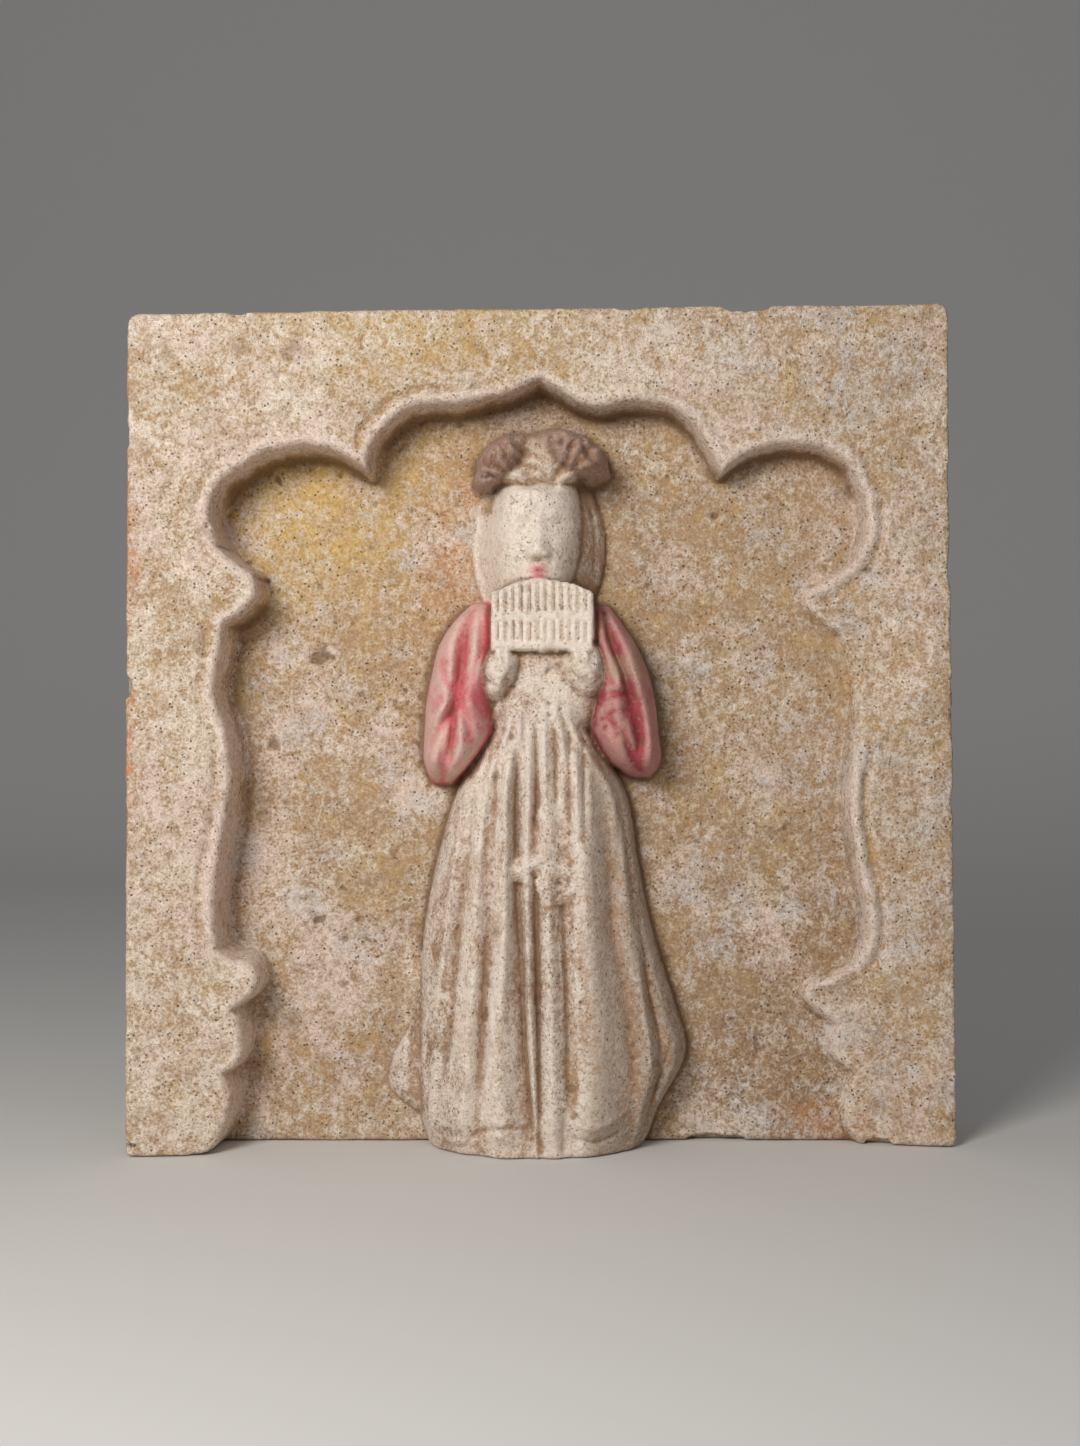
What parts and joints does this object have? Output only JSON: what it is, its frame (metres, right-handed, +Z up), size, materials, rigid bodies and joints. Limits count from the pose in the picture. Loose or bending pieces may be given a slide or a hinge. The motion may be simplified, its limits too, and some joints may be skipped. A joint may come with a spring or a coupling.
{
  "type": "terracotta relief tomb tile",
  "caption": "Square moulded terracotta tile with a cusped niche holding a standing robed figure that plays a panpipe, in worn painted high relief.",
  "frame": {"origin": "middle of the slab's flat underside, on the floor", "axes": "+Z up, the carved front faces -Y and the flat back +Y, +X to the viewer's right"},
  "size_m": [0.3069, 0.0653, 0.3132],
  "materials": {
    "terracotta": "low-fired clay, dry and matt, with worn white slip and pink pigment"
  },
  "bodies": {
    "root": {"tile": "terracotta"}
  },
  "joints": []
}
